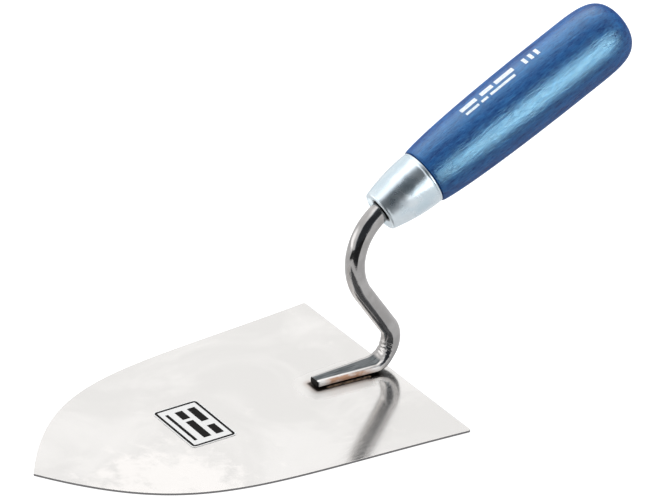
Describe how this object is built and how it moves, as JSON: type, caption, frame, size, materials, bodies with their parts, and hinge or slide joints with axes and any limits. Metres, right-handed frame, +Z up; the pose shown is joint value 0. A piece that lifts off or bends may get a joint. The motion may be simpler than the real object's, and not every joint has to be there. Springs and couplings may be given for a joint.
{
  "type": "plasterer's trowel",
  "caption": "Trowel with a flat pointed-arch blade, a bent forged neck on a welded foot, a conical ferrule and a turned blue handle, for spreading and smoothing plaster.",
  "frame": {"origin": "on the blade's underside, on the centre line, halfway between tip and heel", "axes": "+X from the blade's tip towards its heel and the handle, +Y to the left of the blade seen from above with the tip pointing away, +Z up from the blade's underside"},
  "size_m": [0.2885, 0.1298, 0.1414],
  "materials": {
    "stainless_sheet": "bright rolled sheet, blurred mirror",
    "plated_forging": "polished and plated, forging marks in the bend",
    "weld_metal": "dull, brown heat tint",
    "zinc_shell": "bright bluish zinc plating on pressed sheet",
    "blue_wood": "blue stain under clear lacquer",
    "label_paper": "matt"
  },
  "bodies": {
    "root": {"blade": "stainless_sheet", "tang": "plated_forging", "weld_left": "weld_metal", "weld_right": "weld_metal", "ferrule": "zinc_shell", "handle": "blue_wood", "blade_label": "label_paper"}
  },
  "joints": []
}
